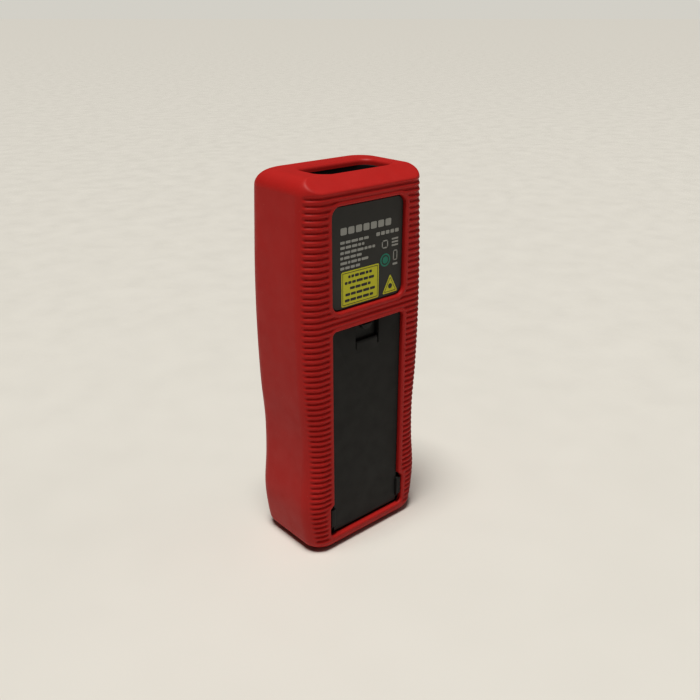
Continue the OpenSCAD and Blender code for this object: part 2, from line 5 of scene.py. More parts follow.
import bmesh
import bpy
import numpy as np
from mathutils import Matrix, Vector


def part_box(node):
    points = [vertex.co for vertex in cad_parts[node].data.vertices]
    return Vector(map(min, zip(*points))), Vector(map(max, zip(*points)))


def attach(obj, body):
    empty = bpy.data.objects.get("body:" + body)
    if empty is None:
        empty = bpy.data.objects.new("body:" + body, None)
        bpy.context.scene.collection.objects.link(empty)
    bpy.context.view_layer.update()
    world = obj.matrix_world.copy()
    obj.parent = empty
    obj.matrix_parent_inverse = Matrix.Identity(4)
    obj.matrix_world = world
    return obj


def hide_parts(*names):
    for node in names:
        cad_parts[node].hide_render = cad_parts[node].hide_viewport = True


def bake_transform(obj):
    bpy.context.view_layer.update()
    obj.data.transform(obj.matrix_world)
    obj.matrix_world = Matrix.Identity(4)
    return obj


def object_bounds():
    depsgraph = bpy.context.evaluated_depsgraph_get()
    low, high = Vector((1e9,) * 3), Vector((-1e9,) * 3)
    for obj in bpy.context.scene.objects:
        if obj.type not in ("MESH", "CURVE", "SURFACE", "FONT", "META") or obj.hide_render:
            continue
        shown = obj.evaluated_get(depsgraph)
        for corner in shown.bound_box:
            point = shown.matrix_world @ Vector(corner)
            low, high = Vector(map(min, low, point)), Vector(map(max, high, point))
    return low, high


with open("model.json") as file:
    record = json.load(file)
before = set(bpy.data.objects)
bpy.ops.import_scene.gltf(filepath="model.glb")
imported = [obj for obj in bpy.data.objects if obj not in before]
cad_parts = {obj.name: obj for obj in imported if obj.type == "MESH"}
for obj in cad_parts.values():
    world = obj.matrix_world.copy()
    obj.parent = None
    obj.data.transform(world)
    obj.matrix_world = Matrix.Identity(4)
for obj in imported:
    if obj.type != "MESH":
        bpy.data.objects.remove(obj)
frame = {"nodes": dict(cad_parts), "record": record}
cad_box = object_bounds()

# Pocket laser distance meter in a ribbed rubber boot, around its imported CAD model.
# +Z is up, +Y is out of the back (the battery door) and -Y is out of the front (the keys).
# Lengths are in millimetres here, and become metres where a mesh, light or camera is made.
MM = 0.001
rest_lo, rest_hi = (corner / MM for corner in cad_box)
BOOT_H = rest_hi.z
BACK = rest_hi.y
FRONT = rest_lo.y


def node_box(name):
    """Lowest and highest corner of a CAD node, in millimetres."""
    return tuple(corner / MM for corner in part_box(name))


# ---- camera, light and floor ----

CAMERA_AZIMUTH = math.radians(138.78)
CAMERA_ELEVATION = math.radians(23.37)
CAMERA_DISTANCE = 228.72
AIM_RIGHT, AIM_UP = 3.05, 1.42        # from the object's middle to the middle of the picture
LENS, SENSOR = 40.13, 36.0
AMBIENT, AMBIENT_COLOUR = 0.05, (1.0, 0.97, 0.91, 1)
BACKDROP_COLOUR = (0.56, 0.545, 0.50, 1)


def direction(azimuth, elevation):
    """Unit vector towards that azimuth (0 is -Y, 90 is +X) and elevation, in radians."""
    return Vector((math.sin(azimuth) * math.cos(elevation),
                   -math.cos(azimuth) * math.cos(elevation), math.sin(elevation)))


def make_camera():
    data = bpy.data.cameras.new("camera")
    data.lens, data.sensor_width = LENS, SENSOR
    data.clip_start, data.clip_end = 0.01, 20
    camera = bpy.data.objects.new("camera", data)
    bpy.context.scene.collection.objects.link(camera)
    towards = direction(CAMERA_AZIMUTH, CAMERA_ELEVATION)
    right = Vector((math.cos(CAMERA_AZIMUTH), math.sin(CAMERA_AZIMUTH), 0))
    aim = Vector((0, 0, BOOT_H / 2)) + AIM_RIGHT * right + AIM_UP * towards.cross(right)
    camera.location = (aim + CAMERA_DISTANCE * towards) * MM
    camera.rotation_mode = "QUATERNION"
    camera.rotation_quaternion = (-towards).to_track_quat("-Z", "Y")
    bpy.context.scene.camera = camera


def add_light(data, azimuth, elevation, distance=1.0):
    """Places a light so that it looks at the object's middle, from those angles in degrees."""
    light = bpy.data.objects.new(data.name, data)
    bpy.context.scene.collection.objects.link(light)
    towards = direction(math.radians(azimuth), math.radians(elevation))
    light.location = Vector((0, 0, BOOT_H * MM / 2)) + towards * distance
    light.rotation_mode = "QUATERNION"
    light.rotation_quaternion = (-towards).to_track_quat("-Z", "Y")


def area_light(name, azimuth, elevation, distance, size, watts, colour):
    """A soft square light."""
    data = bpy.data.lights.new(name, "AREA")
    data.size, data.energy, data.color = size, watts, colour
    add_light(data, azimuth, elevation, distance)


def soft_sun(name, azimuth, elevation, angle, strength, colour):
    """A broad light from far away, as even on the whole floor as a lit ceiling."""
    data = bpy.data.lights.new(name, "SUN")
    data.angle, data.energy, data.color = math.radians(angle), strength, colour
    add_light(data, azimuth, elevation)


def make_world():
    """Dim light from all round, behind a backdrop as pale as the floor."""
    world = bpy.data.worlds.new("room")
    world.use_nodes = True
    tree = world.node_tree
    dim, pale = tree.nodes["Background"], tree.nodes.new("ShaderNodeBackground")
    dim.inputs["Color"].default_value = AMBIENT_COLOUR
    dim.inputs["Strength"].default_value = AMBIENT
    pale.inputs["Color"].default_value = BACKDROP_COLOUR
    mixed = tree.nodes.new("ShaderNodeMixShader")
    tree.links.new(tree.nodes.new("ShaderNodeLightPath").outputs["Is Camera Ray"], mixed.inputs[0])
    tree.links.new(dim.outputs[0], mixed.inputs[1])
    tree.links.new(pale.outputs[0], mixed.inputs[2])
    tree.links.new(mixed.outputs[0], tree.nodes["World Output"].inputs["Surface"])
    bpy.context.scene.world = world


def make_lights():
    soft_sun("ceiling", 115, 80, 20, 3.0, (1.0, 0.975, 0.93))
    area_light("room", 235, 40, 1.5, 0.8, 0.8, (1.0, 0.98, 0.95))
    make_world()
    bpy.context.scene.view_settings.view_transform = "Standard"
    bpy.context.scene.view_settings.look = "Medium High Contrast"


# ---- mesh helpers ----

def mesh_piece(name, points, faces, body, smooth_deg=35):
    """A mesh object from points in millimetres, smooth below that angle, riding on a body."""
    mesh = bpy.data.meshes.new(name)
    mesh.from_pydata((np.asarray(points, float) * MM).tolist(), [], faces)
    mesh.validate()
    mesh.update()
    mesh.shade_smooth()
    mesh.set_sharp_from_angle(angle=math.radians(smooth_deg))
    piece = bpy.data.objects.new(name, mesh)
    bpy.context.scene.collection.objects.link(piece)
    if body:
        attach(piece, body)
    return piece


def loft(rings):
    """Points and faces of a closed solid through rings of equal length, capped at both ends."""
    count, size = len(rings), len(rings[0])
    points = np.concatenate([np.asarray(ring, float) for ring in rings])
    faces = [[j * size + k, j * size + (k + 1) % size,
              (j + 1) * size + (k + 1) % size, (j + 1) * size + k]
             for j in range(count - 1) for k in range(size)]
    faces.append(list(range(size))[::-1])
    faces.append([(count - 1) * size + k for k in range(size)])
    return points, faces


def rounded_outline(corners, radii, grow=0.0, steps=8):
    """Outline through the corners, anticlockwise, each rounded, all moved outwards by grow."""
    corner = np.array(corners, float)
    radii = [radii] * len(corner) if np.isscalar(radii) else radii
    along = np.roll(corner, -1, 0) - corner
    along /= np.linalg.norm(along, axis=1)[:, None]
    outward = np.stack([along[:, 1], -along[:, 0]], 1)
    points = []
    for i in range(len(corner)):
        a, b, na, nb = along[i - 1], along[i], outward[i - 1], outward[i]
        turn = math.atan2(a[0] * b[1] - a[1] * b[0], a @ b)
        sign = math.copysign(1, turn)
        radius = max(radii[i] + sign * grow, 0.02)
        moved = corner[i] + grow * (na + nb) / (1 + na @ nb)
        centre = moved - a * radius * math.tan(abs(turn) / 2) - sign * na * radius
        start = math.atan2(sign * na[1], sign * na[0])
        for k in range(steps + 1):
            angle = start + turn * k / steps
            points.append(centre + radius * np.array([math.cos(angle), math.sin(angle)]))
    return np.array(points)


def rectangle(x0, z0, x1, z1):
    return [(x0, z0), (x1, z0), (x1, z1), (x0, z1)]


def capsule(x, z, half, radius):
    """Corners and radius of an outline with round ends."""
    return rectangle(x - half - radius, z - radius, x + half + radius, z + radius), radius * 0.999


def place(outline, axis, level):
    """Points of a flat outline, (x, z) for axis "y" or (x, y) for axis "z", at that level."""
    flat = np.full(len(outline), level)
    if axis == "y":
        return np.stack([outline[:, 0], flat, outline[:, 1]], 1)
    return np.stack([outline[:, 0], outline[:, 1], flat], 1)


def stack(corners, radii, profile, axis="y", steps=8):
    """Solid from an outline, and a profile of (level, grow) pairs along the axis."""
    rings = [place(rounded_outline(corners, radii, grow, steps), axis, level)
             for level, grow in profile]
    return loft(rings)


def round_edge(level, face_level, radius, steps=5):
    """(level, grow) pairs of an edge rounded by radius, from the side wall to the face."""
    sign = math.copysign(1, face_level - level)
    angles = [math.pi / 2 * k / steps for k in range(steps + 1)]
    return [(face_level - sign * radius * (1 - math.sin(a)), -radius * (1 - math.cos(a)))
            for a in angles]


def plate(name, corners, radii, y0, y1, body, edge=0.12, steps=8):
    """A plate from y0 to y1 with its edges rounded on both faces."""
    profile = round_edge(y1, y0, edge)[::-1] + round_edge(y0, y1, edge)
    return mesh_piece(name, *stack(corners, radii, profile, "y", steps), body)


def lathe(profile, centre, axis="z", steps=64):
    """Closed solid of revolution through (level, radius) pairs, about an axis through centre."""
    rings = []
    for level, radius in profile:
        turn = np.linspace(0, 2 * math.pi, steps, endpoint=False)
        circle = np.stack([centre[0] + max(radius, 0.01) * np.cos(turn),
                           centre[1] + max(radius, 0.01) * np.sin(turn)], 1)
        rings.append(place(circle, axis, level))
    return loft(rings)


def join_shapes(shapes):
    """Several (points, faces) as one."""
    points, faces = [], []
    for shape_points, shape_faces in shapes:
        start = sum(len(p) for p in points)
        points.append(shape_points)
        faces += [[start + k for k in face] for face in shape_faces]
    return np.concatenate(points), faces


def outward(piece):
    """Turns every face of a closed mesh outwards."""
    made = bmesh.new()
    made.from_mesh(piece.data)
    bmesh.ops.recalc_face_normals(made, faces=made.faces)
    made.to_mesh(piece.data)
    made.free()


def cut(piece, shapes, operation="DIFFERENCE"):
    """Cuts solids out of the piece, or adds them to it, and keeps its shading."""
    outward(piece)
    for k, shape in enumerate(shapes):
        tool = mesh_piece(f"tool_{k}", *shape, None)
        outward(tool)
        modifier = piece.modifiers.new("cut", "BOOLEAN")
        modifier.object, modifier.operation, modifier.solver = tool, operation, "MANIFOLD"
        bpy.context.view_layer.update()
        evaluated = piece.evaluated_get(bpy.context.evaluated_depsgraph_get())
        mesh = bpy.data.meshes.new_from_object(evaluated)
        piece.modifiers.clear()
        piece.data = mesh
        bpy.data.objects.remove(tool)
    piece.data.shade_smooth()
    piece.data.set_sharp_from_angle(angle=math.radians(35))


def block(x0, x1, y0, y1, z0, z1):
    """A plain box, for cutting."""
    return stack(rectangle(x0, z0, x1, z1), 0.02, [(y0, 0), (y1, 0)], "y", 1)


# ---- material helpers ----

class Surface:
    """A principled material with short names for its nodes. Texture places are in metres."""

    def __init__(self, name, colour, roughness, **constants):
        self.material = bpy.data.materials.new(name)
        self.material.use_nodes = True
        self.tree = self.material.node_tree
        self.shader = self.tree.nodes["Principled BSDF"]
        self.place = self.tree.nodes.new("ShaderNodeTexCoord").outputs["Object"]
        self.colour, self.roughness, self.normal = (*colour, 1.0), roughness, None
        for socket, value in constants.items():
            self.shader.inputs[socket.replace("_", " ")].default_value = value

    def node(self, kind, *values, **settings):
        """A node with its first inputs set or linked to values, and its settings made."""
        made = self.tree.nodes.new("ShaderNode" + kind)
        for name, value in settings.items():
            setattr(made, name, value)
        for socket, value in zip(made.inputs, values):
            self.set(socket, value)
        return made

    def set(self, socket, value):
        if isinstance(value, bpy.types.NodeSocket):
            self.tree.links.new(value, socket)
        elif value is not None:
            socket.default_value = value

    def stretched(self, x, y, z):
        """The place, scaled along each axis."""
        made = self.node("VectorMath", self.place, (x, y, z), operation="MULTIPLY")
        return made.outputs[0]

    def noise(self, per_metre, detail=2.0, place=None):
        """Noise from 0 to 1, with that many features in a metre."""
        made = self.node("TexNoise", place or self.place)
        made.inputs["Scale"].default_value = per_metre
        made.inputs["Detail"].default_value = detail
        return made.outputs["Fac"]

    def range(self, value, low, high, to_low=0.0, to_high=1.0):
        made = self.node("MapRange", value, low, high, to_low, to_high)
        return made.outputs[0]

    def mix(self, factor, a, b):
        made = self.tree.nodes.new("ShaderNodeMix")
        made.data_type = "RGBA"
        self.set(made.inputs[0], factor)
        self.set(made.inputs[6], a)
        self.set(made.inputs[7], b)
        return made.outputs[2]

    def tint(self, factor, colour):
        """Mixes a colour into the surface by a factor."""
        self.colour = self.mix(factor, self.colour, (*colour, 1.0))

    def bump(self, height, depth_mm, strength=1.0):
        made = self.tree.nodes.new("ShaderNodeBump")
        made.inputs["Strength"].default_value = strength
        made.inputs["Distance"].default_value = depth_mm * MM
        self.set(made.inputs["Height"], height)
        self.set(made.inputs["Normal"], self.normal)
        self.normal = made.outputs["Normal"]

    def done(self):
        self.set(self.shader.inputs["Base Color"], self.colour)
        self.set(self.shader.inputs["Roughness"], self.roughness)
        self.set(self.shader.inputs["Normal"], self.normal)
        return self.material


def shade(colour, factor):
    return tuple(channel * factor for channel in colour)


def moulded(name, colour, roughness, grain_mm=0.16, grain_depth=0.02, mottle=0.12, **constants):
    """Moulded plastic or rubber: spark-eroded grain, faint mottling and an uneven gloss."""
    surface = Surface(name, colour, roughness, **constants)
    surface.tint(surface.range(surface.noise(160, 4), 0.35, 0.7), shade(colour, 1 - mottle))
    worn = surface.range(surface.noise(700, 3), 0.56, 0.74, 0, 0.5)
    surface.tint(worn, shade(colour, 1 + mottle))
    surface.roughness = surface.range(surface.noise(240, 5), 0.3, 0.7, roughness - 0.06,
                                      roughness + 0.06)
    surface.bump(surface.noise(1 / (grain_mm * MM), 2), grain_depth, 0.6)
    return surface


def red_rubber():
    colour = (0.45, 0.022, 0.019)
    surface = moulded("red_rubber", colour, 0.5, 0.12, 0.010, 0.05, Specular_IOR_Level=0.22)
    dust = surface.range(surface.noise(2600, 1), 0.80, 0.84, 0, 0.6)
    surface.tint(dust, (0.65, 0.35, 0.3))
    return surface.done()


def metal(name, colour, roughness, brushed=(1, 1, 0.05)):
    """Plated or turned metal with fine drawing marks."""
    surface = Surface(name, colour, roughness, Metallic=1.0)
    marks = surface.noise(9000, 2, surface.stretched(*brushed))
    surface.tint(surface.range(surface.noise(400, 4), 0.45, 0.75, 0, 0.5), shade(colour, 0.75))
    surface.roughness = surface.range(marks, 0.3, 0.7, roughness - 0.08, roughness + 0.12)
    surface.bump(marks, 0.004, 0.5)
    return surface.done()


def glass(name, colour, roughness=0.03, ior=1.5):
    """Clear or tinted optical glass with a trace of smudges in its gloss."""
    surface = Surface(name, colour, roughness, Transmission_Weight=1.0, IOR=ior)
    smudge = surface.range(surface.noise(120, 5), 0.45, 0.75)
    surface.tint(surface.range(surface.noise(60, 3), 0.4, 0.7), shade(colour, 0.96))
    surface.roughness = surface.range(smudge, 0, 1, roughness, roughness + 0.05)
    return surface.done()


def foam(name, colour):
    """Open foam: cells of about 0.4 mm, their pits painted darker than their walls as painted
    shade.
    """
    surface = Surface(name, colour, 0.9, Sheen_Weight=0.2)
    cells = surface.node("TexVoronoi", surface.place)
    cells.inputs["Scale"].default_value = 2600
    relief_and_pit_shade = surface.range(cells.outputs["Distance"], 0.1, 0.6)
    # painted shade: the same mask that raises the cell walls lightens them, so the pits stay darker
    surface.tint(relief_and_pit_shade, shade(colour, 1.8))
    surface.bump(relief_and_pit_shade, 0.12, 0.8)
    surface.bump(surface.noise(9000, 2), 0.03, 0.5)
    return surface.done()


def circuit_board():
    """Solder mask over fine tracks."""
    colour = (0.01, 0.10, 0.045)
    surface = Surface("circuit_board", colour, 0.3, Coat_Weight=0.3)
    tracks = surface.node("TexWave", surface.place, bands_direction="DIAGONAL")
    tracks.inputs["Scale"].default_value = 260
    tracks.inputs["Distortion"].default_value = 3
    line = surface.range(tracks.outputs["Fac"], 0.55, 0.65)
    surface.tint(line, (0.02, 0.17, 0.08))
    surface.bump(line, 0.03, 0.6)
    surface.roughness = surface.range(surface.noise(500, 3), 0.3, 0.7, 0.25, 0.4)
    return surface.done()


def lcd_face():
    """Reflective display panel, greenish grey, with its fine pixel grid."""
    surface = Surface("lcd_face", (0.30, 0.34, 0.28), 0.25, Coat_Weight=0.4)
    surface.tint(surface.range(surface.noise(40, 2), 0.4, 0.65, 0, 0.12), (0.26, 0.31, 0.26))
    grid = surface.node("TexChecker", surface.place)
    grid.inputs["Scale"].default_value = 5000
    surface.tint(surface.range(grid.outputs["Fac"], 0, 1, 0, 0.05), (0.1, 0.12, 0.1))
    surface.roughness = surface.range(surface.noise(300, 3), 0.3, 0.7, 0.2, 0.32)
    return surface.done()


def cell_sleeve():
    """Shrink sleeve of a cell, in two plain colours."""
    surface = Surface("cell_sleeve", (0.02, 0.05, 0.14), 0.28, Coat_Weight=0.5,
                      Coat_Roughness=0.15)
    height = surface.node("SeparateXYZ", surface.place).outputs["Z"]
    band_low, band_blur = 0.0468, 0.0001
    surface.tint(surface.range(height, band_low, band_low + band_blur), (0.62, 0.36, 0.10))
    surface.tint(surface.range(surface.noise(300, 4), 0.5, 0.8, 0, 0.3), (0.08, 0.1, 0.18))
    surface.roughness = surface.range(surface.noise(500, 3), 0.3, 0.7, 0.22, 0.38)
    surface.bump(surface.noise(400, 3), 0.03, 0.3)
    return surface.done()


def ink(name, colour, roughness=0.5):
    """Screen-printed ink with a slightly uneven lay."""
    surface = Surface(name, colour, roughness)
    surface.tint(surface.range(surface.noise(2500, 3), 0.45, 0.75, 0, 0.5), shade(colour, 0.86))
    surface.roughness = surface.range(surface.noise(1500, 3), 0.3, 0.7, roughness - 0.06,
                                      roughness + 0.06)
    surface.bump(surface.noise(8000, 2), 0.004, 0.5)
    return surface.done()


def make_materials():
    """The record's slots, each with its material."""
    return {
        "red_rubber": red_rubber(),
        "black_plastic": moulded("black_plastic", (0.0145, 0.0142, 0.0135), 0.55, 0.15, 0.02, 0.05,
                                 Specular_IOR_Level=0.3).done(),
        "front_plastic": moulded("front_plastic", (0.026, 0.026, 0.027), 0.5, 0.15, 0.02, 0.05,
                                 Specular_IOR_Level=0.35).done(),
        "label": moulded("label_film", (0.034, 0.033, 0.030), 0.42, 0.35, 0.004, 0.06,
                         Specular_IOR_Level=0.35).done(),
        "clear_window": glass("clear_window", (0.92, 0.95, 0.95)),
        "tinted_window": glass("tinted_window", (0.35, 0.16, 0.18)),
        "lens": glass("lens", (0.85, 0.93, 1.0), 0.01, 1.52),
        "lcd": lcd_face(),
        "light_guide": moulded("light_guide", (0.75, 0.75, 0.72), 0.3, 0.3, 0.01, 0.03).done(),
        "elastomer": moulded("elastomer", (0.5, 0.22, 0.18), 0.6, 0.3, 0.02).done(),
        "circuit_board": circuit_board(),
        "black_parts": moulded("black_parts", (0.02, 0.02, 0.022), 0.45, 0.2, 0.01).done(),
        "steel": metal("plated_steel", (0.72, 0.71, 0.68), 0.28),
        "silicone": moulded("silicone", (0.11, 0.11, 0.12), 0.55, 0.25, 0.01).done(),
        "frame_plastic": moulded("frame_plastic", (0.03, 0.03, 0.032), 0.6, 0.2, 0.02).done(),
        "brass": metal("brass", (0.80, 0.56, 0.22), 0.25),
        "flex": moulded("flex", (0.5, 0.25, 0.03), 0.3, 0.5, 0.005).done(),
        "foam": foam("foam", (0.02, 0.02, 0.021)),
        "cell_sleeve": cell_sleeve(),
        "red_key": moulded("red_key", (0.52, 0.03, 0.025), 0.42, 0.2, 0.006, 0.06).done(),
        "grey_key": moulded("grey_key", (0.10, 0.10, 0.105), 0.48, 0.2, 0.006, 0.08).done(),
    }


def dress(piece, slot_name, material=None):
    """Gives a piece the material of its record slot, or the material given."""
    piece.data.materials.clear()
    piece.data.materials.append(material or materials[slot_name])
    return piece


# ---- boot ----

BOOT_W = 44.4
CORNER_R = 5.4
FOOT_R = 3.4
CROWN_SIDE_R, CROWN_FRONT_R = 4.35, 3.9
BEVEL_H, BEVEL_D = 3.5, 4.9
BEVEL_LOW_R, BEVEL_TOP_R = 1.0, 1.0      # fillets at the two edges of the bevel
CREASE_LOW, CREASE_TOP = 0.25, 1.6       # softness of the crease where the bevel cuts a corner
# Side outline: share of the height, and inset from the widest width
SIDE = [(0, 2.2), (0.06, 0.9), (0.14, 0.2), (0.24, 1.1), (0.34, 1.3),
        (0.46, 0.4), (0.6, 0), (0.74, 0.15), (0.88, 0.85), (1, 1.55)]

RIB_FIRST, RIB_LAST, RIB_COUNT = 3.36, 106.25, 62
RIB_PITCH = (RIB_LAST - RIB_FIRST) / (RIB_COUNT - 1)
RIB_DEPTH = 0.5
RIB_SHARPNESS = 1.15                     # above 1, the crests are wider than the troughs
RIB_HEIGHTS, RIB_STARTS = (6, 40), (42, 28)      # degrees round a back corner, by height
FRONT_RIB_START = 48                     # the same at the front, all the way up
RIB_RISE = 10                            # degrees over which a rib reaches its depth
RIM = 0.9                                # smooth rim round each window
RIM_FADE = 0.8                           # over which the ribs rise beside the rim
RINGS_PER_RIB = 8

WINDOW_X, WINDOW_EAR_X = 13.0, 14.4
DOOR_Z0, DOOR_Z1 = 4.2, 69.1
EAR_Z0, EAR_Z1 = 14.0, 15.2              # where the window narrows above the door's ears
DOOR_WINDOW = [(-WINDOW_EAR_X, DOOR_Z0), (WINDOW_EAR_X, DOOR_Z0), (WINDOW_EAR_X, EAR_Z0),
               (WINDOW_X, EAR_Z1), (WINDOW_X, DOOR_Z1), (-WINDOW_X, DOOR_Z1),
               (-WINDOW_X, EAR_Z1), (-WINDOW_EAR_X, EAR_Z0)]
DOOR_WINDOW_R = [1.5, 1.5, 0.6, 0.6, 1.2, 1.2, 0.6, 0.6]
LABEL_WINDOW = rectangle(-WINDOW_X, 74.4, WINDOW_X, 102.6)
LABEL_WINDOW_R = 2.7
WINDOW_EDGE = 0.6                        # rounding of the windows' edges
FRONT_WINDOW = rectangle(-15, 7.5, 15, 103)
FRONT_WINDOW_R = 5.0
FRONT_WINDOW_EDGE = 0.35
PORT = rectangle(-13.2, -3.6, 11.9, 7.6)
PORT_R = 3.4
PORT_EDGE, PORT_DRAFT = 1.1, 0.3


def curve(points, x):
    """Cubic curve through the points, at x."""
    px, py = np.array(points, float).T
    slope = np.gradient(py)
    slope[1:-1] = (py[2:] - py[:-2]) / (px[2:] - px[:-2])
    slope[0] = (py[1] - py[0]) / (px[1] - px[0])
    slope[-1] = (py[-1] - py[-2]) / (px[-1] - px[-2])
    i = np.clip(np.searchsorted(px, x) - 1, 0, len(px) - 2)
    w = px[i + 1] - px[i]
    t = (x - px[i]) / w
    return ((2 * t**3 - 3 * t**2 + 1) * py[i] + (t**3 - 2 * t**2 + t) * w * slope[i]
            + (3 * t**2 - 2 * t**3) * py[i + 1] + (t**3 - t**2) * w * slope[i + 1])


def quarter(u, r):
    """Inset of a quarter round of radius r, at a distance u from its end."""
    inside = np.clip(r - u, 0, r)
    return r - np.sqrt(r**2 - inside**2)


def smoothstep(t):
    t = np.clip(t, 0, 1)
    return t * t * (3 - 2 * t)


def bevel_inset(z):
    """Inset of the back below its full depth: the bevel with a fillet at each edge."""
    slope = math.atan2(BEVEL_D, BEVEL_H)
    low, top = BEVEL_LOW_R, BEVEL_TOP_R
    low_t, top_t = low * math.tan(slope / 2), top * math.tan((math.pi / 2 - slope) / 2)
    u = z - (BOOT_H - BEVEL_H)
    straight = np.maximum(u, 0) * BEVEL_D / BEVEL_H
    low_arc = low - np.sqrt(np.maximum(low**2 - np.maximum(u + low_t, 0)**2, 0))
    top_arc = BEVEL_D + top_t - np.sqrt(np.maximum(top**2 - (z - BOOT_H + top)**2, 0))
    inset = np.where(u < low_t * math.cos(slope), np.where(u < -low_t, 0, low_arc), straight)
    return np.where(z > BOOT_H - top_t * math.cos(slope), top_arc, inset)


def side_x(z):
    return (BOOT_W / 2 - curve(SIDE, z / BOOT_H) - quarter(z, FOOT_R)
            - quarter(BOOT_H - z, CROWN_SIDE_R))


def front_y(z):
    return FRONT + quarter(z, FOOT_R) + quarter(BOOT_H - z, CROWN_FRONT_R)


def back_y(z):
    return BACK - quarter(z, FOOT_R)


def bevelled(y, z):
    """Depth y where the bevel's plane cuts it off, with a soft crease between the two."""
    limit = BACK - bevel_inset(z)
    rise = np.clip((z - BOOT_H + BEVEL_H) / BEVEL_H, 0, 1)
    soft = CREASE_LOW + (CREASE_TOP - CREASE_LOW) * rise
    crease = np.maximum(soft - np.abs(y - limit), 0)**2 / (4 * soft)
    depth = smoothstep((BACK - 0.02 - limit) / 0.4) * smoothstep((BACK - y) / 0.6)
    return np.minimum(y, limit) - crease * depth


def ring_heights():
    """Heights of the boot's rings: close together where the ribs and the round edges are."""
    step = RIB_PITCH / RINGS_PER_RIB
    body = RIB_FIRST + step * np.arange(-4, (RIB_COUNT - 1) * RINGS_PER_RIB + 1)
    foot = FOOT_R * (1 - np.cos(np.linspace(0, math.pi / 2, 13)))
    foot = foot[foot < body[0] - step / 4]
    crown_h = BOOT_H - body[-1]
    crown = BOOT_H - crown_h * (1 - np.sin(np.linspace(0, math.pi / 2, 29)[1:]))
    return np.concatenate([foot, body, crown])


def outline_distance(outline, x, z):
    """Distance of each point (x, z) from a closed outline, negative inside it."""
    a, b = outline, np.roll(outline, -1, 0)
    nearest = np.full(x.shape, 1e9)
    crossings = np.zeros(x.shape, int)
    for (ax, az), (bx, bz) in zip(a, b):
        ex, ez = bx - ax, bz - az
        length = ex * ex + ez * ez
        if length < 1e-12:
            continue
        t = np.clip(((x - ax) * ex + (z - az) * ez) / length, 0, 1)
        nearest = np.minimum(nearest, np.hypot(x - ax - t * ex, z - az - t * ez))
        spans = (az > z) != (bz > z)
        if ez:
            crossings += spans & (x < ax + (z - az) * ex / ez)
    return np.where(crossings % 2, -nearest, nearest)


def half_columns(stops, ends):
    """Columns of half a face: places of the stops, mirrored, without the two ends."""
    places = np.concatenate([np.arange(a, b - 1e-9, step) for a, b, step in stops] + [[ends]])
    return np.concatenate([-places[:0:-1], places])


def rib_share(front, angle, x, z):
    """How much of the ribs' depth a point has: angle is how far round the corner it is."""
    start = FRONT_RIB_START if front else np.interp(z, RIB_HEIGHTS, RIB_STARTS)
    share = smoothstep((angle - start + 0 * z) / RIB_RISE)
    windows = [(FRONT_WINDOW, FRONT_WINDOW_R)] if front else [
        (DOOR_WINDOW, DOOR_WINDOW_R), (LABEL_WINDOW, LABEL_WINDOW_R)]
    for corners, radii in windows:
        distance = outline_distance(rounded_outline(corners, radii), x, z)
        share = share * smoothstep((distance - RIM) / RIM_FADE)
    return share


def boot_surface():
    """The boot's outside, closed, with its ribs."""
    z = ring_heights()[:, None]
    x_straight = side_x(z) - CORNER_R
    y_back, y_front = back_y(z) - CORNER_R, front_y(z) + CORNER_R
    fixed = 15.4                         # out to here a face's columns keep their places
    scale = np.minimum(1, x_straight / (fixed + 0.05))
    back = half_columns([(0, 10, 5), (10.5, 13.7, 0.4), (13.8, 15.4, 0.1)], fixed)
    front = half_columns([(0, 10, 5), (10, 15.4, 0.45)], fixed)
    arc = np.arange(0, 90.1, 4.5)
    columns = []                         # x, y and how far round the corner, for each column

    def arc_columns(sign, centre_y, start):
        for step in arc:
            angle = math.radians(start + step)
            yield (sign * x_straight, centre_y, math.cos(angle), math.sin(angle))

    def add(x, y, nx, ny, angle, is_front):
        columns.append((x + 0 * z, y + 0 * z, nx, ny, angle, is_front))

    for x in -back:                      # the back, from +X to -X
        add(x * scale, y_back + CORNER_R, 0, 1, 90, False)
    for cx, cy, nx, ny in arc_columns(-1, y_back, 90):
        add(cx + CORNER_R * nx, cy + CORNER_R * ny, nx, ny, math.degrees(math.asin(ny)), False)
    for share in (0.33, 0.67):           # the side at -X
        add(-x_straight - CORNER_R, y_back + (y_front - y_back) * share, -1, 0, 0, False)
    for cx, cy, nx, ny in arc_columns(-1, y_front, 180):
        add(cx + CORNER_R * nx, cy + CORNER_R * ny, nx, ny, math.degrees(math.asin(-ny)), True)
    for x in front:                      # the front, from -X to +X
        add(x * scale, y_front - CORNER_R, 0, -1, 90, True)
    for cx, cy, nx, ny in arc_columns(1, y_front, 270):
        add(cx + CORNER_R * nx, cy + CORNER_R * ny, nx, ny, math.degrees(math.asin(-ny)), True)
    for share in (0.33, 0.67):           # the side at +X
        add(x_straight + CORNER_R, y_front + (y_back - y_front) * share, 1, 0, 0, False)
    for cx, cy, nx, ny in arc_columns(1, y_back, 0):
        add(cx + CORNER_R * nx, cy + CORNER_R * ny, nx, ny, math.degrees(math.asin(ny)), False)

    phase = (z - RIB_FIRST) / RIB_PITCH
    trough = (0.5 - 0.5 * np.cos(2 * math.pi * phase)) ** RIB_SHARPNESS
    trough = np.where((z < RIB_FIRST) | (z > RIB_LAST), 0, trough)
    rings = np.empty((len(z), len(columns), 3))
    for k, (x, y, nx, ny, angle, is_front) in enumerate(columns):
        inset = RIB_DEPTH * trough * rib_share(is_front, angle, x, z)
        rings[:, k, 0] = (x - inset * nx)[:, 0]
        rings[:, k, 1] = bevelled(y - inset * ny, z)[:, 0]
        rings[:, k, 2] = z[:, 0]
    return loft(rings)


